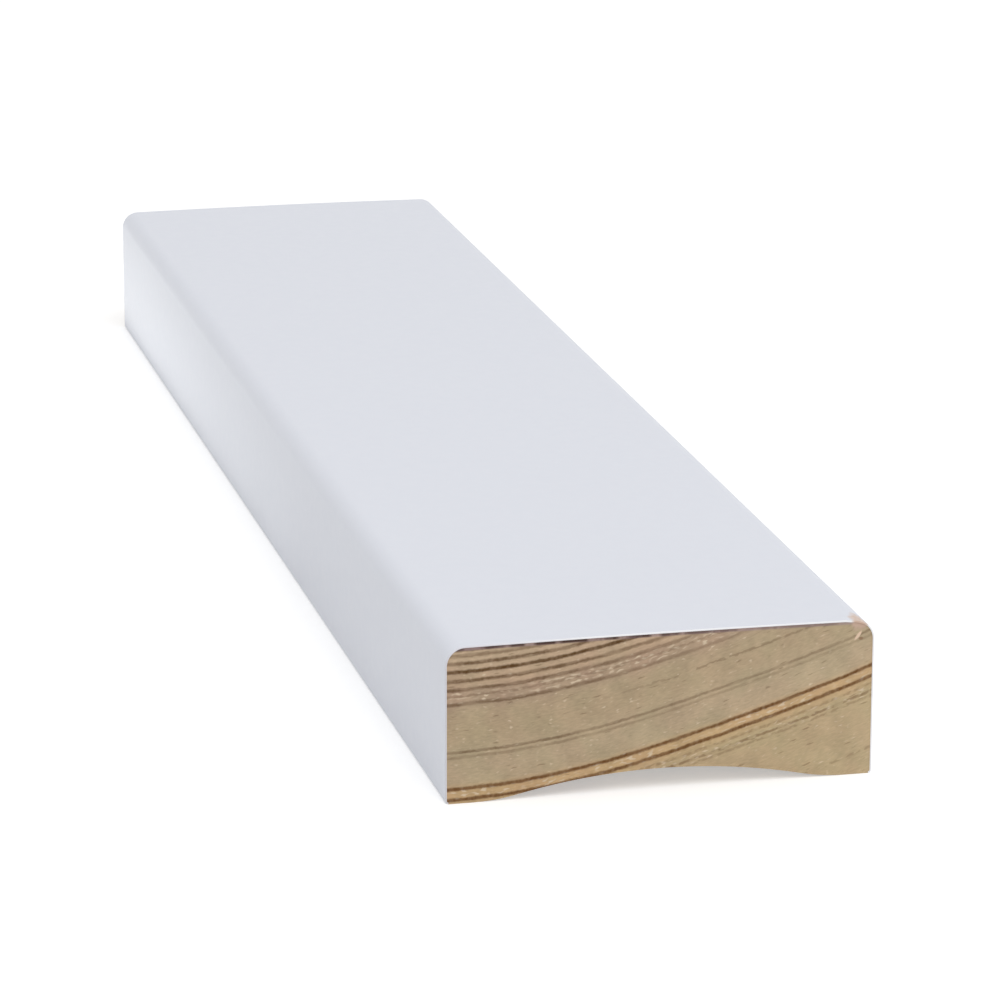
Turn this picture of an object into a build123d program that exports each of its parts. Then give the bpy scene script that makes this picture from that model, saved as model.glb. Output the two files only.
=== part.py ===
from build123d import *

import math
import os

# A short length of white-painted softwood cover moulding, planed from one piece of wood.
# It lies on its back. X runs across the width, Y along the grain and Z up through the face.
# The origin is at the middle of the back, on the plane of the two bearing lands.

# Stock, in millimetres
WIDTH = 43.0
THICKNESS = 16.0  # back plane to the top of the crowned face
LENGTH = 200.0

# Face
CROWN_RISE = 0.15  # how much higher the middle of the face is than its edges
ARRIS_RADIUS = 2.0  # rounding of the two long edges of the face

# Back
LAND_WIDTH = 2.75  # flat strip along each long edge, which bears on the wall
HOLLOW_DEPTH = 2.1  # back plane to the deepest line of the hollow
BLEND_RADIUS = 20.0  # eases each land into the hollow

# The hollow is one wide arc that meets both blends without a corner.
hollow_half_width = WIDTH / 2 - LAND_WIDTH
centre_distance = (hollow_half_width**2 + HOLLOW_DEPTH**2) / (2 * HOLLOW_DEPTH)
hollow_radius = centre_distance - BLEND_RADIUS
blend_angle = math.degrees(math.asin(hollow_half_width / centre_distance))

edge_height = THICKNESS - CROWN_RISE


def hollow_back():
    """The back, from the left edge to the right: land, blend, hollow, blend and land."""
    left_land = Line((-WIDTH / 2, 0), (-hollow_half_width, 0))
    left_blend = JernArc(left_land @ 1, left_land % 1, BLEND_RADIUS, blend_angle)
    hollow = JernArc(left_blend @ 1, left_blend % 1, hollow_radius, -2 * blend_angle)
    right_blend = JernArc(hollow @ 1, hollow % 1, BLEND_RADIUS, blend_angle)
    right_land = Line(right_blend @ 1, (WIDTH / 2, 0))
    return left_land, right_land


def sides_and_crown(left_land, right_land):
    """The two square sides and the shallow arc of the face, with its arrises still sharp."""
    right_side = Line(right_land @ 1, (WIDTH / 2, edge_height))
    crown = ThreePointArc(right_side @ 1, (0, THICKNESS), (-WIDTH / 2, edge_height))
    Line(crown @ 1, left_land @ 0)


with BuildPart() as moulding:
    with BuildSketch(Plane.XZ) as section:
        with BuildLine():
            sides_and_crown(*hollow_back())
        make_face()
        arrises = section.vertices().group_by(Axis.Y)[-1]
        fillet(arrises, radius=ARRIS_RADIUS)
    extrude(amount=LENGTH / 2, both=True)

os.makedirs("parts", exist_ok=True)
export_step(moulding.part, "parts/moulding.step")
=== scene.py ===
import math

import bmesh
import bpy
from mathutils import Matrix, Vector, noise


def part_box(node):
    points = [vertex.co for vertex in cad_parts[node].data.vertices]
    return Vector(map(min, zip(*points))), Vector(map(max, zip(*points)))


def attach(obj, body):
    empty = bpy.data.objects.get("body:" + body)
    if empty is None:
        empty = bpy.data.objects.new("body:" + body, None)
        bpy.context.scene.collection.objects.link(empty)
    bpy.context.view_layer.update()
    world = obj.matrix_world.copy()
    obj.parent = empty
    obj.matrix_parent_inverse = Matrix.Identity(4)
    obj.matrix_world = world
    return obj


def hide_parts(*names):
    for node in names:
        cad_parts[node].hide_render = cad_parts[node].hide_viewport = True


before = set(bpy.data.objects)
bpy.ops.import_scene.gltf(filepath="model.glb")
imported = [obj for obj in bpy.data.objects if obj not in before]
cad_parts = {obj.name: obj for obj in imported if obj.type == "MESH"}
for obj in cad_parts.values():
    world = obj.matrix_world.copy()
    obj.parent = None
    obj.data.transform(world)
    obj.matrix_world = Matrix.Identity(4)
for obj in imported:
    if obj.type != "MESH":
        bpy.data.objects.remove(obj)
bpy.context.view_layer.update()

MM = 0.001

# Camera.
# It stands in front of the near cut end, a little to its left, and looks down along the length.
CAMERA_PLACE = Vector((-116.74, -527.88, 153.92)) * MM
CAMERA_TURN = (74.284, -0.148, -13.188)  # degrees about X, Y and Z
SENSOR_WIDTH = 36.0
LENS = 172.75
NEAREST_SEEN = 0.01
FARTHEST_SEEN = 20.0

bpy.ops.object.camera_add(location=CAMERA_PLACE, rotation=[math.radians(a) for a in CAMERA_TURN])
camera = bpy.context.object
camera.name = "camera"
camera.data.sensor_width = SENSOR_WIDTH
camera.data.lens = LENS
camera.data.clip_start = NEAREST_SEEN
camera.data.clip_end = FARTHEST_SEEN
bpy.context.scene.camera = camera


# The moulding, its section.
# One length of Scots pine, run through a moulder that hollows its back, rounds the two long edges of
# its face and leaves the face a little crowned. The outline is traced once round, from the left land.
low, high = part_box("moulding")
WIDTH = high.x - low.x
LENGTH = high.y - low.y
THICKNESS = high.z - low.z
CROWN_RISE = 0.15 * MM
ARRIS_RADIUS = 2.0 * MM
LAND_WIDTH = 2.75 * MM
HOLLOW_DEPTH = 2.1 * MM
BLEND_RADIUS = 20.0 * MM
CORNER_EASE = 0.3 * MM  # the back corners, broken by sanding
BLEND_STEPS = 8
HOLLOW_STEPS = 48
EASE_STEPS = 3
ARRIS_STEPS = 14
CROWN_STEPS = 40
SAME_POINT = 0.001 * MM

half_width = WIDTH / 2
hollow_half = half_width - LAND_WIDTH
centre_distance = (hollow_half**2 + HOLLOW_DEPTH**2) / (2 * HOLLOW_DEPTH)
hollow_radius = centre_distance - BLEND_RADIUS
blend_angle = math.asin(hollow_half / centre_distance)
crown_half = half_width - ARRIS_RADIUS
crown_radius = (half_width**2 + CROWN_RISE**2) / (2 * CROWN_RISE)
crown_angle = math.asin(crown_half / (crown_radius - ARRIS_RADIUS))
arris_angle = math.pi / 2 - crown_angle
arris_height = THICKNESS - crown_radius + (crown_radius - ARRIS_RADIUS) * math.cos(crown_angle)
ease_centre = half_width - CORNER_EASE


def run(x, z):
    """Carries the outline on in a straight line to a point of the section."""
    mesh = bmesh.from_edit_mesh(bpy.context.edit_object.data)
    here = next(v for v in mesh.verts if v.select).co
    bpy.ops.mesh.extrude_region_move(TRANSFORM_OT_translate={"value": (x - here.x, 0, z - here.z)})


def turn(x, z, angle, steps):
    """Carries the outline on in an arc about a point of the section, to the left if angle is positive."""
    bpy.ops.mesh.spin(steps=steps, angle=angle, center=(x, low.y, z), axis=(0, 1, 0))


bpy.ops.object.select_all(action="DESELECT")
bpy.ops.mesh.primitive_plane_add(size=CORNER_EASE, location=(-ease_centre, low.y, low.z))
moulding = bpy.context.object
moulding.name = "painted_moulding"
bpy.ops.object.transform_apply(location=True, rotation=True, scale=True)
bpy.ops.object.mode_set(mode="EDIT")
bpy.ops.mesh.merge(type="CENTER")

run(-hollow_half, 0)
turn(-hollow_half, BLEND_RADIUS, blend_angle, BLEND_STEPS)
turn(0, HOLLOW_DEPTH - hollow_radius, -2 * blend_angle, HOLLOW_STEPS)
turn(hollow_half, BLEND_RADIUS, blend_angle, BLEND_STEPS)
run(ease_centre, 0)
turn(ease_centre, CORNER_EASE, math.pi / 2, EASE_STEPS)
run(half_width, arris_height)
turn(crown_half, arris_height, arris_angle, ARRIS_STEPS)
turn(0, THICKNESS - crown_radius, 2 * crown_angle, CROWN_STEPS)
turn(-crown_half, arris_height, arris_angle, ARRIS_STEPS)
run(-half_width, CORNER_EASE)
turn(-ease_centre, CORNER_EASE, math.pi / 2, EASE_STEPS)

bpy.ops.mesh.select_all(action="SELECT")
bpy.ops.mesh.remove_doubles(threshold=SAME_POINT)
bpy.ops.mesh.edge_face_add()

# The moulding, its length.
# The section is drawn out to the full length, and cross lines keep the long strips of the mesh short.
CROSS_LINES = 19

bpy.ops.mesh.extrude_region_move(TRANSFORM_OT_translate={"value": (0, LENGTH, 0)})
bpy.ops.mesh.select_all(action="SELECT")
bpy.ops.mesh.normals_make_consistent(inside=False)


def pick(kind, wanted):
    """Selects only the vertices, edges or faces of the mesh for which wanted is true."""
    bpy.ops.mesh.select_mode(type={"verts": "VERT", "edges": "EDGE", "faces": "FACE"}[kind])
    bpy.ops.mesh.select_all(action="DESELECT")
    mesh = bmesh.from_edit_mesh(bpy.context.edit_object.data)
    for item in getattr(mesh, kind):
        if wanted(item):
            item.select_set(True)
    bmesh.update_edit_mesh(bpy.context.edit_object.data)


pick("edges", lambda edge: edge.calc_length() > LENGTH / 2)
bpy.ops.mesh.subdivide(number_cuts=CROSS_LINES)

# The moulding, its cut ends.
# A fine saw cut both ends after painting. The cut paint stands as a thin white rim round three sides,
# and the wood within it lies a little deeper, back to the unpainted edge of the hollow.
PAINT_FILM = 0.16 * MM  # a little more than a real coat, so that its cut edge shows
FILM_BEVEL = 0.08 * MM
SAW_RECESS = 0.06 * MM
RECESS_STEP = 0.04 * MM
GRID = 0.2 * MM  # spacing of the points on a cut end
MATERIAL_NAMES = ("white_satin_paint", "cut_paint_edge", "pine_end_grain", "planed_pine")
PAINT, CUT_PAINT, END_GRAIN, PLANED = range(4)

moulding.data.materials.clear()
for name in MATERIAL_NAMES:
    moulding.data.materials.append(bpy.data.materials.new(name))


def finish_with(material):
    """Gives the selected faces one of the moulding's materials."""
    moulding.active_material_index = material
    bpy.ops.object.material_slot_assign()


def on_end(face):
    """Tells whether a face belongs to one of the two sawn ends."""
    return abs(face.normal.y) > 0.9


def on_back(face):
    """Tells whether a face belongs to the hollow back or its lands."""
    return face.normal.z < -0.8


def on_film(face):
    """Tells whether a face of a sawn end is the cut edge of the paint, not of the bare back."""
    middle = face.calc_center_median()
    return on_end(face) and (middle.z > THICKNESS / 3 or abs(middle.x) > ease_centre)


def in_wood(face):
    """Tells whether a face belongs to the flat of the wood within the rim of a sawn end."""
    return on_end(face) and abs(face.calc_center_median().y) < LENGTH / 2 - SAW_RECESS / 2


pick("faces", on_back)
finish_with(PLANED)
pick("faces", on_end)
bpy.ops.mesh.inset(thickness=PAINT_FILM, use_even_offset=True)
finish_with(END_GRAIN)
bpy.ops.mesh.inset(thickness=RECESS_STEP, depth=-SAW_RECESS, use_even_offset=True)
pick("faces", lambda face: on_end(face) and face.material_index in (PAINT, PLANED))
finish_with(END_GRAIN)
pick("faces", lambda face: on_film(face) and not in_wood(face))
finish_with(CUT_PAINT)

pick("edges", lambda edge: {face.material_index for face in edge.link_faces} == {PAINT, CUT_PAINT})
bpy.ops.mesh.bevel(offset=FILM_BEVEL, segments=1, material=CUT_PAINT)

for column in range(1, round(WIDTH / GRID)):
    pick("faces", in_wood)
    bpy.ops.mesh.bisect(plane_co=(low.x + column * GRID, 0, 0), plane_no=(1, 0, 0))
for row in range(1, round(THICKNESS / GRID)):
    pick("faces", in_wood)
    bpy.ops.mesh.bisect(plane_co=(0, 0, low.z + row * GRID), plane_no=(0, 0, 1))

# The moulding, its growth rings.
# The tree's heart lay far above and to the left, so each ring climbs to the right in one long, slightly
# wavy arc. Its hard late wood stands a little proud of the saw cut. Ring sizes are in millimetres.
RING_RADIUS = 132.8
RING_CENTRE = -29.45
RING_WAVE = 0.23
RING_WAVE_LENGTH = 39.3
RING_WAVE_START = -1.03
RING_DRIFT = 0.9  # how far the rings climb from the near end to the far one
RING_LINE = 0.3  # half the width of a dark line at its foot
THIN_LINE = 0.22
LINE_CORE = 0.07  # half the width of its darkest part

# A ring is named by its height at the left side, in millimetres, and given with the darkness of its line.
CLOSE_RINGS = ((14.86, 0.55), (14.08, 0.8), (12.32, 0.78), (11.46, 0.7), (10.0, 0.64))
BOLD_RINGS = ((15.45, 0.8), (13.24, 0.93), (1.44, 0.88), (0.34, 0.87))
THIN_RINGS = ((5.14, 0.56), (4.6, 0.32))
FLECKED_RINGS = ((10.82, 0.34),)
LOW_RINGS = ((-0.5, 0.36), (-1.2, 0.56), (-1.65, 0.34))
BROKEN_RINGS = ((7.95, 0.4), (-7.0, 0.3))

RIDGE = 0.03 * MM
ROUGHNESS = 0.008 * MM
ROUGHNESS_SIZE = 0.5 * MM


def ring_rise(x):
    """Tells how far a ring has climbed at x, but for a height that is the same for all."""
    arc = RING_RADIUS - math.sqrt(RING_RADIUS**2 - (x - RING_CENTRE) ** 2)
    return arc + RING_WAVE * math.sin((x - RING_WAVE_START) * math.tau / RING_WAVE_LENGTH)


RING_ZERO = ring_rise(-half_width / MM)


def hardness(x, y, z):
    """Tells how much hard late wood there is at a point of a cut end, from 0 to 1."""
    ring = z - ring_rise(x) + RING_ZERO + RING_DRIFT * (y / (LENGTH / MM) + 0.5)
    rings = CLOSE_RINGS + BOLD_RINGS + THIN_RINGS
    return max(dark * max(0, 1 - abs(ring - height) / RING_LINE) for height, dark in rings)


mesh = bmesh.from_edit_mesh(moulding.data)
inner = [vert for vert in mesh.verts if all(in_wood(face) for face in vert.link_faces)]
for vert in inner:
    outward = math.copysign(1, vert.co.y)
    texture = noise.noise(vert.co / ROUGHNESS_SIZE)
    vert.co.y += outward * (RIDGE * hardness(*(vert.co / MM)) + ROUGHNESS * texture)
bmesh.update_edit_mesh(moulding.data)

# The moulding, a knock at its near right corner.
# Something hard struck the arris just behind the saw cut. It broke off the paint, bruised the wood, and
# raised a splinter on the cut end below.
KNOCK_PLACE = Vector((20.0, -99.8, 15.8)) * MM
KNOCK_REACH = Vector((0.95, 2.6, 1.1)) * MM
KNOCK_PUSH = Vector((-0.08, 0.14, -0.16)) * MM
KNOCK_MARGIN = 3 * MM  # how far in from the arris the mesh gets the cross lines of the knock
KNOCK_LINES = (0.3, 0.6, 0.9, 1.2, 1.6, 2.2)  # millimetres from the near end
TEAR_SIZE = 0.5 * MM
SPLINTER_PLACE = Vector((19.85, -100, 14.25)) * MM
SPLINTER_SIZE = Vector((0.6, 0.5, 0.17)) * MM  # half its length, depth and width
SPLINTER_TURN = math.radians(-52)
SPLINTER_RISE = 0.05 * MM


def by_knock(face):
    """Tells whether a face of the paint is on the arris at the near right corner."""
    middle = face.calc_center_median()
    first_line = low.y + LENGTH / (CROSS_LINES + 1)
    at_corner = middle.x > crown_half - KNOCK_MARGIN and middle.y < first_line
    return at_corner and face.normal.z > 0.03 and not on_end(face)


def how_far_out(away, size):
    """Tells how far out a point lies in an egg-shaped space, from 0 at its middle to 1 at its rim."""
    return Vector(part / whole for part, whole in zip(away, size)).length


for back in KNOCK_LINES:
    pick("faces", by_knock)
    bpy.ops.mesh.bisect(plane_co=(0, low.y + back * MM, 0), plane_no=(0, 1, 0))

mesh = bmesh.from_edit_mesh(moulding.data)
for vert in mesh.verts:
    out = how_far_out(vert.co - KNOCK_PLACE, KNOCK_REACH)
    if out < 1:
        ragged = 0.8 + 0.5 * noise.noise(vert.co / TEAR_SIZE)
        vert.co += KNOCK_PUSH * (1 - out**2) * ragged
turn_back = Matrix.Rotation(-SPLINTER_TURN, 3, "Y")
for vert in mesh.verts:
    out = how_far_out(turn_back @ (vert.co - SPLINTER_PLACE), SPLINTER_SIZE)
    if out < 1 and abs(vert.normal.y) > 0.5:
        vert.co.y = max(low.y, vert.co.y - SPLINTER_RISE * (1 - out**2))
bmesh.update_edit_mesh(moulding.data)
bpy.ops.object.mode_set(mode="OBJECT")
bpy.ops.object.shade_smooth_by_angle(angle=math.radians(30))

# The moulding, its paint.
# White water-borne satin paint, sprayed on in the factory over a primer. It is cool in tone, levels to
# a faint orange peel of about a millimetre, and barely lets the grain under it show.
PAINT_COLOUR = "#E0E3EC"
BRUISE_COLOURS = ("#EBDCD2", "#CDB09D")  # torn fibres and the pinkish wood between them

# Patterns are given in waves to a millimetre: one number, or three for across, along and up.
ORANGE_PEEL = 0.8
GRAIN_UNDER_PAINT = (1.6, 0.03, 1.6)
TORN_FIBRES = 3
TORN_EDGE = 1.8
TORN_EDGE_DEPTH = 0.8  # as a share of the knock's reach


def linear(colour):
    """Turns an sRGB hex value into the linear colour that a socket takes."""
    parts = [int(colour[i : i + 2], 16) / 255 for i in (1, 3, 5)]
    return [p / 12.92 if p <= 0.04045 else ((p + 0.055) / 1.055) ** 2.4 for p in parts] + [1]


def add(tree, kind, inputs=None, **settings):
    """Adds a node, makes its settings, and fills or links its sockets, named or numbered."""
    node = tree.nodes.new("ShaderNode" + kind)
    for name, value in settings.items():
        setattr(node, name, value)
    for key, value in (inputs or {}).items():
        sockets = [s for s in node.inputs if s.enabled]
        socket = sockets[key] if isinstance(key, int) else next(s for s in sockets if s.name == key)
        if isinstance(value, bpy.types.Node):
            value = next(s for s in value.outputs if s.enabled)
        if isinstance(value, bpy.types.NodeSocket):
            tree.links.new(value, socket)
        else:
            socket.default_value = value
    return node


def fresh_tree(name):
    """Clears a material and gives its empty node tree."""
    material = bpy.data.materials[name]
    material.use_nodes = True
    material.node_tree.nodes.clear()
    return material.node_tree


def millimetres(tree):
    """Gives each point its place on the moulding in millimetres."""
    place = add(tree, "TexCoord").outputs["Object"]
    return add(tree, "VectorMath", {"Vector": place, "Scale": 1000}, operation="SCALE")


def knocked(tree, point):
    """Gives each point how much of the paint the knock took there, from 0 to 1."""
    near = add(tree, "Mapping", {"Vector": point, "Location": KNOCK_PLACE / MM, "Scale": KNOCK_REACH / MM},
               vector_type="TEXTURE")
    out = add(tree, "VectorMath", {"Vector": near}, operation="LENGTH")
    ragged = add(tree, "TexNoise", {"Vector": point, "Scale": TORN_EDGE, "Detail": 2})
    edge = add(tree, "Math", {0: ragged, 1: TORN_EDGE_DEPTH, 2: out}, operation="MULTIPLY_ADD")
    return add(tree, "MapRange", {"Value": edge, "From Min": 1.5, "From Max": 1.0})


tree = fresh_tree("white_satin_paint")
point = millimetres(tree)
peel = add(tree, "TexNoise", {"Vector": point, "Scale": ORANGE_PEEL, "Detail": 2})
lengthwise = add(tree, "Mapping", {"Vector": point, "Scale": GRAIN_UNDER_PAINT})
grain = add(tree, "TexNoise", {"Vector": lengthwise, "Scale": 1, "Detail": 3})
waves = add(tree, "Math", {0: grain, 1: 0.5, 2: peel}, operation="MULTIPLY_ADD")
bump = add(tree, "Bump", {"Strength": 0.05, "Distance": 0.02 * MM, "Height": waves})
satin = add(tree, "MapRange", {"Value": peel, "From Min": 0.3, "From Max": 0.7,
                               "To Min": 0.34, "To Max": 0.42})
bared = knocked(tree, point)
torn = add(tree, "TexNoise", {"Vector": point, "Scale": TORN_FIBRES, "Detail": 2})
bruise = add(tree, "Mix", {"Factor": torn, "A": linear(BRUISE_COLOURS[0]), "B": linear(BRUISE_COLOURS[1])},
             data_type="RGBA")
colour = add(tree, "Mix", {"Factor": bared, "A": linear(PAINT_COLOUR), "B": bruise}, data_type="RGBA")
rough = add(tree, "Mix", {"Factor": bared, "A": satin, "B": 0.8})
shader = add(tree, "BsdfPrincipled", {"Base Color": colour, "Roughness": rough, "IOR": 1.5, "Normal": bump})
add(tree, "OutputMaterial", {"Surface": shader})

# The moulding, the sawn edge of its paint.
# The saw leaves the cut edge of the film rough, so it is matt. It is given a purer white than the face,
# which paints a highlight along the edge, and this painted highlight is weaker round the left arris.
DIMMER_HIGHLIGHT_EDGE = "#DFDEE4"
HIGHLIGHT_EDGE = "#F6F6F8"

tree = fresh_tree("cut_paint_edge")
point = millimetres(tree)
x = add(tree, "SeparateXYZ", {"Vector": point}).outputs["X"]
# painted highlight on the cut edge of the paint, weaker towards the left arris
highlight_share = add(tree, "MapRange", {"Value": x, "From Min": -19, "From Max": -7})
edge_white = add(tree, "Mix", {"Factor": highlight_share, "A": linear(DIMMER_HIGHLIGHT_EDGE), "B": linear(HIGHLIGHT_EDGE)},
            data_type="RGBA")
bared = knocked(tree, point)
colour = add(tree, "Mix", {"Factor": bared, "A": edge_white, "B": linear(BRUISE_COLOURS[1])}, data_type="RGBA")
shader = add(tree, "BsdfPrincipled", {"Base Color": colour, "Roughness": 0.6, "IOR": 1.5})
add(tree, "OutputMaterial", {"Surface": shader})

# The moulding, its bare wood.
# Scots pine. On the sawn ends it is dull and greyed, with dark brown late wood in thin lines, and pinkish
# where the rings are close. On the planed back the same rings come out as long straight streaks.
EARLY_WOOD = ((-12, "#C6B191"), (-1, "#C4AF8D"), (0.5, "#D1B188"), (1.3, "#D0B088"), (2.0, "#C1AD90"),
              (3.5, "#C2AE92"), (7, "#BCA88B"), (9, "#BDA88C"), (10.2, "#BAA18A"), (11.2, "#BDA38C"),
              (12, "#C6AC91"), (14.5, "#CDB398"))  # ring height and the colour there
LOWEST, HIGHEST = -12, 18  # the ring heights that the colours are spread over
LATE_WOOD = "#563916"
RUSTY_LATE_WOOD = "#643B0D"  # in the rings below a height of 2
WOOD_TINGES = ("#FCF9F6", "#F9FAF5")  # a little redder here and greener there

WANDER = 0.36  # how far a ring strays up and down over its length, in millimetres
WANDER_WAVES = (0.3, 0.01, 0.3)
FRAY = 0.16  # the same over a fraction of a millimetre, from fibre to fibre
FRAY_WAVES = (2.2, 0.1, 2.2)
LONG_BREAKS = (0.35, 0.02, 2.2)
SHORT_BREAKS = (1.3, 0.03, 2.2)
RAYS = (2.4, 0.1, 0.5)


def by_ring(tree, point):
    """Gives each point its place across and along, and in place of its height that of its ring."""
    x, y, z = add(tree, "SeparateXYZ", {"Vector": point}).outputs
    across = add(tree, "Math", {0: x, 1: RING_CENTRE}, operation="SUBTRACT")
    square = add(tree, "Math", {0: across, 1: across}, operation="MULTIPLY")
    rest = add(tree, "Math", {0: RING_RADIUS**2, 1: square}, operation="SUBTRACT")
    arc = add(tree, "Math", {0: rest}, operation="SQRT")
    turns = add(tree, "Math", {0: x, 1: RING_WAVE_START}, operation="SUBTRACT")
    angle = add(tree, "Math", {0: turns, 1: math.tau / RING_WAVE_LENGTH}, operation="MULTIPLY")
    wave = add(tree, "Math", {0: angle}, operation="SINE")
    curve = add(tree, "Math", {0: wave, 1: -RING_WAVE, 2: arc}, operation="MULTIPLY_ADD")
    sloped = add(tree, "Math", {0: y, 1: RING_DRIFT / (LENGTH / MM), 2: curve}, operation="MULTIPLY_ADD")
    raised = add(tree, "Math", {0: sloped, 1: z}, operation="ADD")
    slow = add(tree, "Mapping", {"Vector": point, "Scale": WANDER_WAVES})
    wander = add(tree, "TexNoise", {"Vector": slow, "Scale": 1, "Detail": 5, "Roughness": 0.65})
    strayed = add(tree, "Math", {0: wander, 1: WANDER, 2: raised}, operation="MULTIPLY_ADD")
    quick = add(tree, "Mapping", {"Vector": point, "Scale": FRAY_WAVES})
    fray = add(tree, "TexNoise", {"Vector": quick, "Scale": 1, "Detail": 1})
    frayed = add(tree, "Math", {0: fray, 1: FRAY, 2: strayed}, operation="MULTIPLY_ADD")
    zero = RING_ZERO + RING_DRIFT / 2 - RING_RADIUS - WANDER / 2 - FRAY / 2
    ring = add(tree, "Math", {0: frayed, 1: zero}, operation="ADD")
    return add(tree, "CombineXYZ", {"X": x, "Y": y, "Z": ring})


def late_wood(tree, ringed):
    """Gives each point, placed by its ring, how dark the late wood is there, from 0 to 1."""
    x, _, ring = add(tree, "SeparateXYZ", {"Vector": ringed}).outputs
    along = add(tree, "Mapping", {"Vector": ringed, "Scale": LONG_BREAKS})
    long_breaks = add(tree, "TexNoise", {"Vector": along, "Scale": 1, "Detail": 2})
    across = add(tree, "Mapping", {"Vector": ringed, "Scale": SHORT_BREAKS})
    short_breaks = add(tree, "TexNoise", {"Vector": across, "Scale": 1, "Detail": 1})

    # For each group: its rings, half the width of a line, its breaks, how much of a line is left in a
    # break, and how much of it shows on the left and on the right.
    groups = ((CLOSE_RINGS, RING_LINE, long_breaks, 0.65, 1, 0.5),
              (BOLD_RINGS, RING_LINE, long_breaks, 0.88, 1, 1),
              (THIN_RINGS, THIN_LINE, long_breaks, 0.65, 1, 0.72),
              (FLECKED_RINGS, THIN_LINE, short_breaks, 0.2, 1, 0.8),
              (LOW_RINGS, THIN_LINE, short_breaks, 0.3, 1, 0.9),
              (BROKEN_RINGS, THIN_LINE, short_breaks, 0, 0, 0.9))
    dark = 0.0
    for rings, half_line, breaks, left_over, on_left, on_right in groups:
        lines = 0.0
        for height, darkness in rings:
            away = add(tree, "Math", {0: ring, 1: height}, operation="SUBTRACT")
            apart = add(tree, "Math", {0: away}, operation="ABSOLUTE")
            line = add(tree, "MapRange", {"Value": apart, "From Min": half_line, "From Max": LINE_CORE,
                                          "To Max": darkness}, interpolation_type="SMOOTHSTEP")
            lines = add(tree, "Math", {0: line, 1: lines}, operation="MAXIMUM")
        held = add(tree, "MapRange", {"Value": breaks, "From Min": 0.44, "From Max": 0.53,
                                      "To Min": left_over})
        fade = add(tree, "MapRange", {"Value": x, "From Min": -10, "From Max": 5,
                                      "To Min": on_left, "To Max": on_right})
        broken = add(tree, "Math", {0: lines, 1: held}, operation="MULTIPLY")
        faded = add(tree, "Math", {0: broken, 1: fade}, operation="MULTIPLY")
        dark = add(tree, "Math", {0: faded, 1: dark}, operation="MAXIMUM")

    upright = add(tree, "Mapping", {"Vector": ringed, "Scale": RAYS})
    rays = add(tree, "TexNoise", {"Vector": upright, "Scale": 1, "Detail": 2})
    cut = add(tree, "MapRange", {"Value": rays, "From Min": 0.35, "From Max": 0.6,
                                 "To Min": 0.88, "To Max": 1.04})
    return add(tree, "Math", {0: dark, 1: cut}, operation="MULTIPLY")


FINE_STREAKS = (1.5, 0.7, 6)
MOTTLE = 0.35
CLOUDS = 0.3
SAWN_FIBRES = 5

tree = fresh_tree("pine_end_grain")
point = millimetres(tree)
ringed = by_ring(tree, point)
x, _, ring = add(tree, "SeparateXYZ", {"Vector": ringed}).outputs
level = add(tree, "MapRange", {"Value": ring, "From Min": LOWEST, "From Max": HIGHEST})
tone = add(tree, "ValToRGB", {"Fac": level})
while len(tone.color_ramp.elements) < len(EARLY_WOOD):
    tone.color_ramp.elements.new(0.5)
for element, (height, colour) in zip(tone.color_ramp.elements, EARLY_WOOD):
    element.position = (height - LOWEST) / (HIGHEST - LOWEST)
    element.color = linear(colour)

fine = add(tree, "Mapping", {"Vector": ringed, "Scale": FINE_STREAKS})
streaks = add(tree, "TexNoise", {"Vector": fine, "Scale": 1, "Detail": 3})
mottle = add(tree, "TexNoise", {"Vector": point, "Scale": MOTTLE, "Detail": 2})
shade = add(tree, "Math", {0: streaks, 1: mottle}, operation="ADD")
slope = add(tree, "Math", {0: x, 1: 0.004, 2: shade}, operation="MULTIPLY_ADD")
gain = add(tree, "MapRange", {"Value": slope, "From Min": 0.7, "From Max": 1.3,
                              "To Min": 0.86, "To Max": 1.14})
early = add(tree, "Mix", {"Factor": 1, "A": tone, "B": gain}, data_type="RGBA", blend_type="MULTIPLY")
cloud = add(tree, "TexNoise", {"Vector": point, "Scale": CLOUDS, "Detail": 1})
spread = add(tree, "MapRange", {"Value": cloud, "From Min": 0.4, "From Max": 0.6})
tinge = add(tree, "Mix", {"Factor": spread, "A": linear(WOOD_TINGES[0]), "B": linear(WOOD_TINGES[1])},
            data_type="RGBA")
early = add(tree, "Mix", {"Factor": 1, "A": early, "B": tinge}, data_type="RGBA", blend_type="MULTIPLY")

# Fibres that the saw tore out show as pale flecks about 0.4 mm long, most of all in three bands between
# rings. Resin canals show as dark dashes about twice as long.
PALE_WOOD = "#E3D0B4"
FLECKS = (1.5, 0.7, 4.2)
FLECK_BANDS = ((10.75, 0.53), (0.85, 0.54), (-1.0, 0.59))  # middle height, and how rare the flecks are
RARE_ELSEWHERE = 0.69
FLECK_CROWDS = (0.5, 0.3, 0.5)
CANALS = (0.7, 0.5, 4)

small = add(tree, "Mapping", {"Vector": ringed, "Scale": FLECKS})
specks = add(tree, "TexNoise", {"Vector": small, "Scale": 1, "Detail": 0})
rare = RARE_ELSEWHERE
for height, rarity in FLECK_BANDS:
    away = add(tree, "Math", {0: ring, 1: height}, operation="SUBTRACT")
    apart = add(tree, "Math", {0: away}, operation="ABSOLUTE")
    band = add(tree, "MapRange", {"Value": apart, "From Min": 0.45, "From Max": 0.9, "To Min": rarity,
                                  "To Max": RARE_ELSEWHERE})
    rare = add(tree, "Math", {0: band, 1: rare}, operation="MINIMUM")
over = add(tree, "Math", {0: specks, 1: rare}, operation="SUBTRACT")
wide = add(tree, "Mapping", {"Vector": ringed, "Scale": FLECK_CROWDS})
crowds = add(tree, "TexNoise", {"Vector": wide, "Scale": 1, "Detail": 2})
most = add(tree, "MapRange", {"Value": crowds, "From Min": 0.4, "From Max": 0.55,
                              "To Min": 0.25, "To Max": 0.8})
torn = add(tree, "MapRange", {"Value": over, "From Min": 0, "From Max": 0.16, "To Max": most})
flecked = add(tree, "Mix", {"Factor": torn, "A": early, "B": linear(PALE_WOOD)}, data_type="RGBA")

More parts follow.
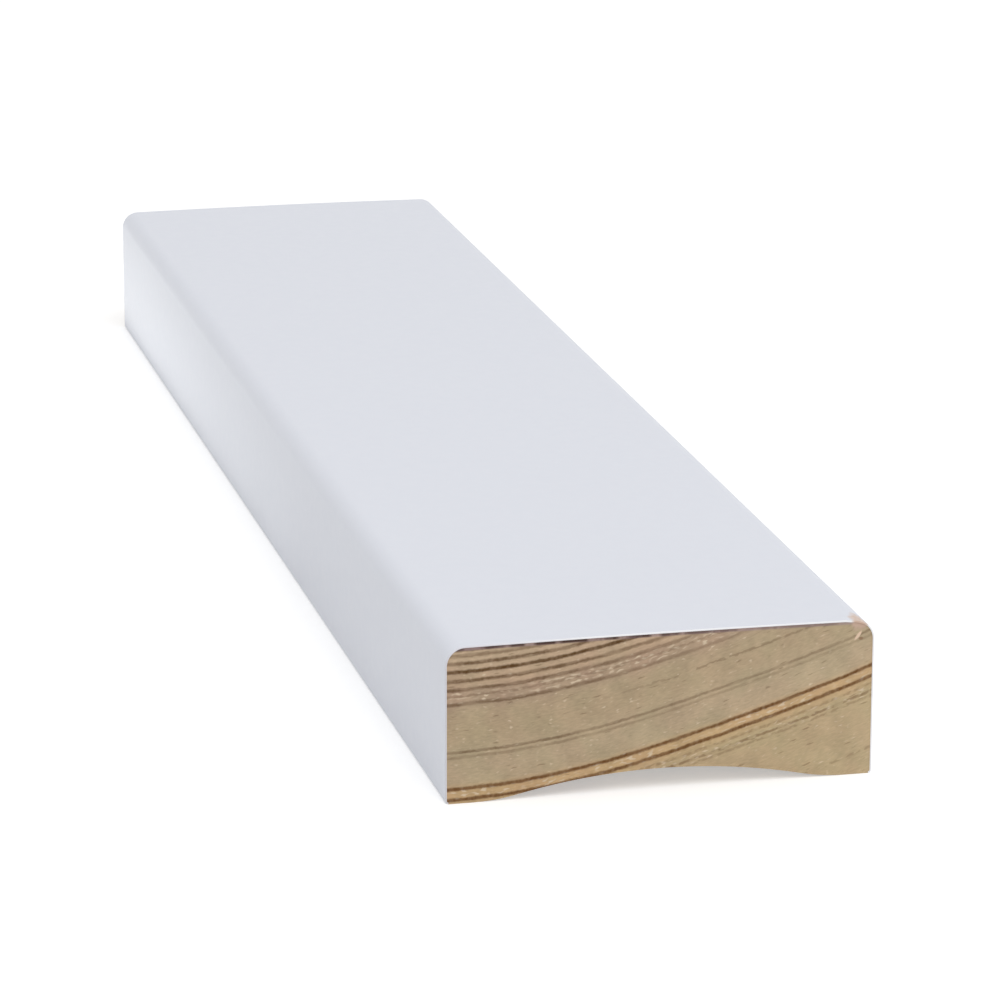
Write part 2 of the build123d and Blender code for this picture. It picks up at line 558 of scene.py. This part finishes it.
long = add(tree, "Mapping", {"Vector": ringed, "Scale": CANALS})
dashes = add(tree, "TexNoise", {"Vector": long, "Scale": 1, "Detail": 0})
canal = add(tree, "MapRange", {"Value": dashes, "From Min": 0.73, "From Max": 0.81, "To Max": 0.4})
dark = add(tree, "Math", {0: late_wood(tree, ringed), 1: canal}, operation="MAXIMUM")
rusty = add(tree, "MapRange", {"Value": ring, "From Min": 3, "From Max": 2})
late = add(tree, "Mix", {"Factor": rusty, "A": linear(LATE_WOOD), "B": linear(RUSTY_LATE_WOOD)},
           data_type="RGBA")
wood = add(tree, "Mix", {"Factor": dark, "A": flecked, "B": late}, data_type="RGBA")

# Just under the paint of the face the wood gets painted shade, where the edge of the film would shade it:
# a thin mauve line, and in patches a nearly black one.
PAINTED_SHADE_MAUVE = "#AC9598"
PAINTED_SHADE_STRENGTH = 0.65
PAINTED_SHADE_DEPTHS = (0.52, 0.37)  # millimetres below the face where it begins and where it is full
PAINTED_SHADE_DARK = "#3A2017"
PAINTED_SHADE_PATCHES = (0.4, 0.01, 0)

bend = add(tree, "Math", {0: x, 1: x}, operation="MULTIPLY")
top = add(tree, "Math", {0: bend, 1: -MM / (2 * crown_radius), 2: THICKNESS / MM}, operation="MULTIPLY_ADD")
z = add(tree, "SeparateXYZ", {"Vector": point}).outputs["Z"]
depth = add(tree, "Math", {0: top, 1: z}, operation="SUBTRACT")
near_top = add(tree, "MapRange", {"Value": depth, "From Min": PAINTED_SHADE_DEPTHS[0], "From Max": PAINTED_SHADE_DEPTHS[1]})
mauve_shade = add(tree, "Math", {0: near_top, 1: PAINTED_SHADE_STRENGTH}, operation="MULTIPLY")
# painted shade: a thin mauve line just under the face
wood = add(tree, "Mix", {"Factor": mauve_shade, "A": wood, "B": linear(PAINTED_SHADE_MAUVE)}, data_type="RGBA")
shade_spread = add(tree, "Mapping", {"Vector": point, "Scale": PAINTED_SHADE_PATCHES})
shade_patches = add(tree, "TexNoise", {"Vector": shade_spread, "Scale": 1, "Detail": 3})
shade_patch_mask = add(tree, "MapRange", {"Value": shade_patches, "From Min": 0.42, "From Max": 0.52,
                               "To Min": 0.1, "To Max": 1})
less_on_right = add(tree, "MapRange", {"Value": x, "From Min": -3, "From Max": 10,
                                       "To Min": 1, "To Max": 0.35})
less_at_corner = add(tree, "MapRange", {"Value": x, "From Min": -18, "From Max": -10,
                                        "To Min": 0.75, "To Max": 0.9})
painted_shade = near_top
for share in (shade_patch_mask, less_on_right, less_at_corner):
    painted_shade = add(tree, "Math", {0: painted_shade, 1: share}, operation="MULTIPLY")
# painted shade: nearly black in patches along the same line, less to the right and at the left corner
wood = add(tree, "Mix", {"Factor": painted_shade, "A": wood, "B": linear(PAINTED_SHADE_DARK)}, data_type="RGBA")
bared = knocked(tree, point)
wood = add(tree, "Mix", {"Factor": bared, "A": wood, "B": linear(BRUISE_COLOURS[1])}, data_type="RGBA")

# The splinter is pale, and a dark spot lies beside it.
SPLINTER_COLOUR = "#EACDB2"
DARK_SPOT_PLACE = Vector((20.15, -100, 13.95)) * MM
DARK_SPOT_SIZE = Vector((0.25, 0.5, 0.18)) * MM
DARK_SPOT_COLOUR = "#9A7E63"

for place, turned, size, tint in ((SPLINTER_PLACE, SPLINTER_TURN, SPLINTER_SIZE, SPLINTER_COLOUR),
                                  (DARK_SPOT_PLACE, 0, DARK_SPOT_SIZE, DARK_SPOT_COLOUR)):
    near = add(tree, "Mapping", {"Vector": point, "Location": place / MM, "Rotation": (0, turned, 0),
                                 "Scale": size / MM}, vector_type="TEXTURE")
    out = add(tree, "VectorMath", {"Vector": near}, operation="LENGTH")
    inside = add(tree, "MapRange", {"Value": out, "From Min": 1.1, "From Max": 0.7})
    wood = add(tree, "Mix", {"Factor": inside, "A": wood, "B": linear(tint)}, data_type="RGBA")

fibres = add(tree, "TexNoise", {"Vector": point, "Scale": SAWN_FIBRES, "Detail": 2})
bump = add(tree, "Bump", {"Strength": 0.3, "Distance": 0.03 * MM, "Height": fibres})
shader = add(tree, "BsdfPrincipled", {"Base Color": wood, "Roughness": 0.8, "IOR": 1.45, "Normal": bump,
                                      "Specular IOR Level": 0.25})  # open pores swallow the gloss
add(tree, "OutputMaterial", {"Surface": shader})

# The planed back is brighter than the sawn ends. The cutter left a shallow ripple across it, and spray
# drifted a little way in from the two sides.
PLANED_EARLY_WOOD = "#D6BD97"
PLANED_LATE_WOOD = "#A87C4E"
PLANED_CANALS = "#8C6440"
LONG_STREAKS = (4, 0.05, 4)
LONG_CANALS = (3.2, 0.25, 3.2)
KNIFE_PITCH = 1.6  # millimetres from one knife mark to the next
OVERSPRAY = 1.2  # how far in it strays from the side, in millimetres
OVERSPRAY_FADE = 0.7
OVERSPRAY_CLOUDS = 0.7

tree = fresh_tree("planed_pine")
point = millimetres(tree)
x, y, _ = add(tree, "SeparateXYZ", {"Vector": point}).outputs
fine = add(tree, "Mapping", {"Vector": point, "Scale": LONG_STREAKS})
streaks = add(tree, "TexNoise", {"Vector": fine, "Scale": 1, "Detail": 3})
gain = add(tree, "MapRange", {"Value": streaks, "From Min": 0.3, "From Max": 0.7,
                              "To Min": 0.88, "To Max": 1.08})
early = add(tree, "Mix", {"Factor": 1, "A": linear(PLANED_EARLY_WOOD), "B": gain}, data_type="RGBA",
            blend_type="MULTIPLY")
dark = late_wood(tree, by_ring(tree, point))
wood = add(tree, "Mix", {"Factor": dark, "A": early, "B": linear(PLANED_LATE_WOOD)}, data_type="RGBA")
long = add(tree, "Mapping", {"Vector": point, "Scale": LONG_CANALS})
dashes = add(tree, "TexNoise", {"Vector": long, "Scale": 1, "Detail": 0})
canal = add(tree, "MapRange", {"Value": dashes, "From Min": 0.7, "From Max": 0.78, "To Max": 0.6})
wood = add(tree, "Mix", {"Factor": canal, "A": wood, "B": linear(PLANED_CANALS)}, data_type="RGBA")

turns = add(tree, "Math", {0: y, 1: math.tau / KNIFE_PITCH}, operation="MULTIPLY")
ripple = add(tree, "Math", {0: turns}, operation="COSINE")
relief = add(tree, "Math", {0: streaks, 1: 1.5, 2: ripple}, operation="MULTIPLY_ADD")
bump = add(tree, "Bump", {"Strength": 0.25, "Distance": 0.01 * MM, "Height": relief})
side = add(tree, "Math", {0: x}, operation="ABSOLUTE")
drift = add(tree, "TexNoise", {"Vector": point, "Scale": OVERSPRAY_CLOUDS, "Detail": 4})
strayed = add(tree, "Math", {0: drift, 1: OVERSPRAY, 2: side}, operation="MULTIPLY_ADD")
sprayed = add(tree, "MapRange", {"Value": strayed, "From Min": half_width / MM,
                                 "From Max": half_width / MM + OVERSPRAY_FADE})
wood = add(tree, "Mix", {"Factor": sprayed, "A": wood, "B": linear(PAINT_COLOUR)}, data_type="RGBA")
shader = add(tree, "BsdfPrincipled", {"Base Color": wood, "Roughness": 0.6, "IOR": 1.45, "Normal": bump})
add(tree, "OutputMaterial", {"Surface": shader})

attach(moulding, "root")
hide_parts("moulding")

# Floor and surroundings.
# A wide sheet of white card under a white tent. Both look white, and the card keeps a soft shadow.
FLOOR_SIZE = 4.0
FLOOR_GAP = 0.02 * MM
FLOOR_GLOW = 0.42
CARD_COLOUR = "#E6E6E6"
LIGHT_COLOUR = "#FFFFFF"
TENT_LIGHT = 0.65


def seen(tree):
    """Gives 1 on the way of a ray that comes from the camera, also by a mirror or through glass, else 0."""
    rays = add(tree, "LightPath").outputs
    direct = add(tree, "Math", {0: rays["Is Camera Ray"], 1: rays["Is Glossy Ray"]}, operation="MAXIMUM")
    return add(tree, "Math", {0: direct, 1: rays["Is Transmission Ray"]}, operation="MAXIMUM")


bpy.ops.object.select_all(action="DESELECT")
bpy.ops.mesh.primitive_plane_add(size=FLOOR_SIZE, location=(0, 0, low.z - FLOOR_GAP))
floor = bpy.context.object
floor.name = "floor"
bpy.ops.object.transform_apply(location=True, rotation=True, scale=True)
card = bpy.data.materials.new("white_card")
floor.data.materials.append(card)
tree = fresh_tree("white_card")
glow = add(tree, "Math", {0: seen(tree), 1: FLOOR_GLOW}, operation="MULTIPLY")
matt = add(tree, "BsdfDiffuse", {"Color": linear(CARD_COLOUR)})
lit = add(tree, "Emission", {"Color": linear(LIGHT_COLOUR), "Strength": glow})
both = add(tree, "AddShader", {0: matt, 1: lit})
add(tree, "OutputMaterial", {"Surface": both})

world = bpy.data.worlds.new("white_tent")
bpy.context.scene.world = world
world.use_nodes = True
tree = world.node_tree
tree.nodes.clear()
strength = add(tree, "MapRange", {"Value": seen(tree), "To Min": TENT_LIGHT, "To Max": 1})
sky = add(tree, "Background", {"Color": linear(LIGHT_COLOUR), "Strength": strength})
add(tree, "OutputWorld", {"Surface": sky})

# Lamps.
# One wide soft box hangs above the near end, so that the sawn end gets nearly as much light as the face.
# Strips of light on the floor, each brighter than the one before, light the left side towards its far end.
SOFT_BOX_PLACE = (0.1, -0.78, 1.2)
SOFT_BOX_AIM = (0, -0.05, 0)
SOFT_BOX_SIZE = 1.0
SOFT_BOX_WATTS = 6.7
STRIP_JOINTS = (-0.018, 0.006, 0.03, 0.052, 0.072, 0.16)  # where they start and end along the side
STRIP_WIDTH = 0.02
STRIP_GAP = 0.002  # between the strips and the side
STRIP_HEIGHT = 0.0003  # so low that they hardly reach the arris above
STRIP_GLOW = 0.575  # watts for each square metre of the first, and as much more for each that follows
STRIP_COLOUR = (1, 1, 0.93)


def soft_lamp(name, place, aim, width, length, watts):
    """Adds a flat lamp that faces a point and that the camera doesn't see."""
    bpy.ops.object.light_add(type="AREA", location=place)
    lamp = bpy.context.object
    lamp.name = name
    lamp.rotation_euler = (Vector(aim) - Vector(place)).to_track_quat("-Z", "Y").to_euler()
    lamp.data.shape = "RECTANGLE"
    lamp.data.size = width
    lamp.data.size_y = length
    lamp.data.energy = watts
    lamp.visible_camera = False
    return lamp


soft_lamp("soft_box", SOFT_BOX_PLACE, SOFT_BOX_AIM, SOFT_BOX_SIZE, SOFT_BOX_SIZE, SOFT_BOX_WATTS)
strip_x = -half_width - STRIP_GAP - STRIP_WIDTH / 2
for step, (start, end) in enumerate(zip(STRIP_JOINTS, STRIP_JOINTS[1:]), 1):
    middle = (start + end) / 2
    strip = soft_lamp("side_strip", (strip_x, middle, STRIP_HEIGHT), (strip_x, middle, 1), STRIP_WIDTH,
                      end - start, step * STRIP_GLOW * STRIP_WIDTH * (end - start))
    strip.data.color = STRIP_COLOUR
    strip.visible_glossy = False  # it would draw a bright line along the arris

bpy.context.scene.view_settings.view_transform = "Standard"
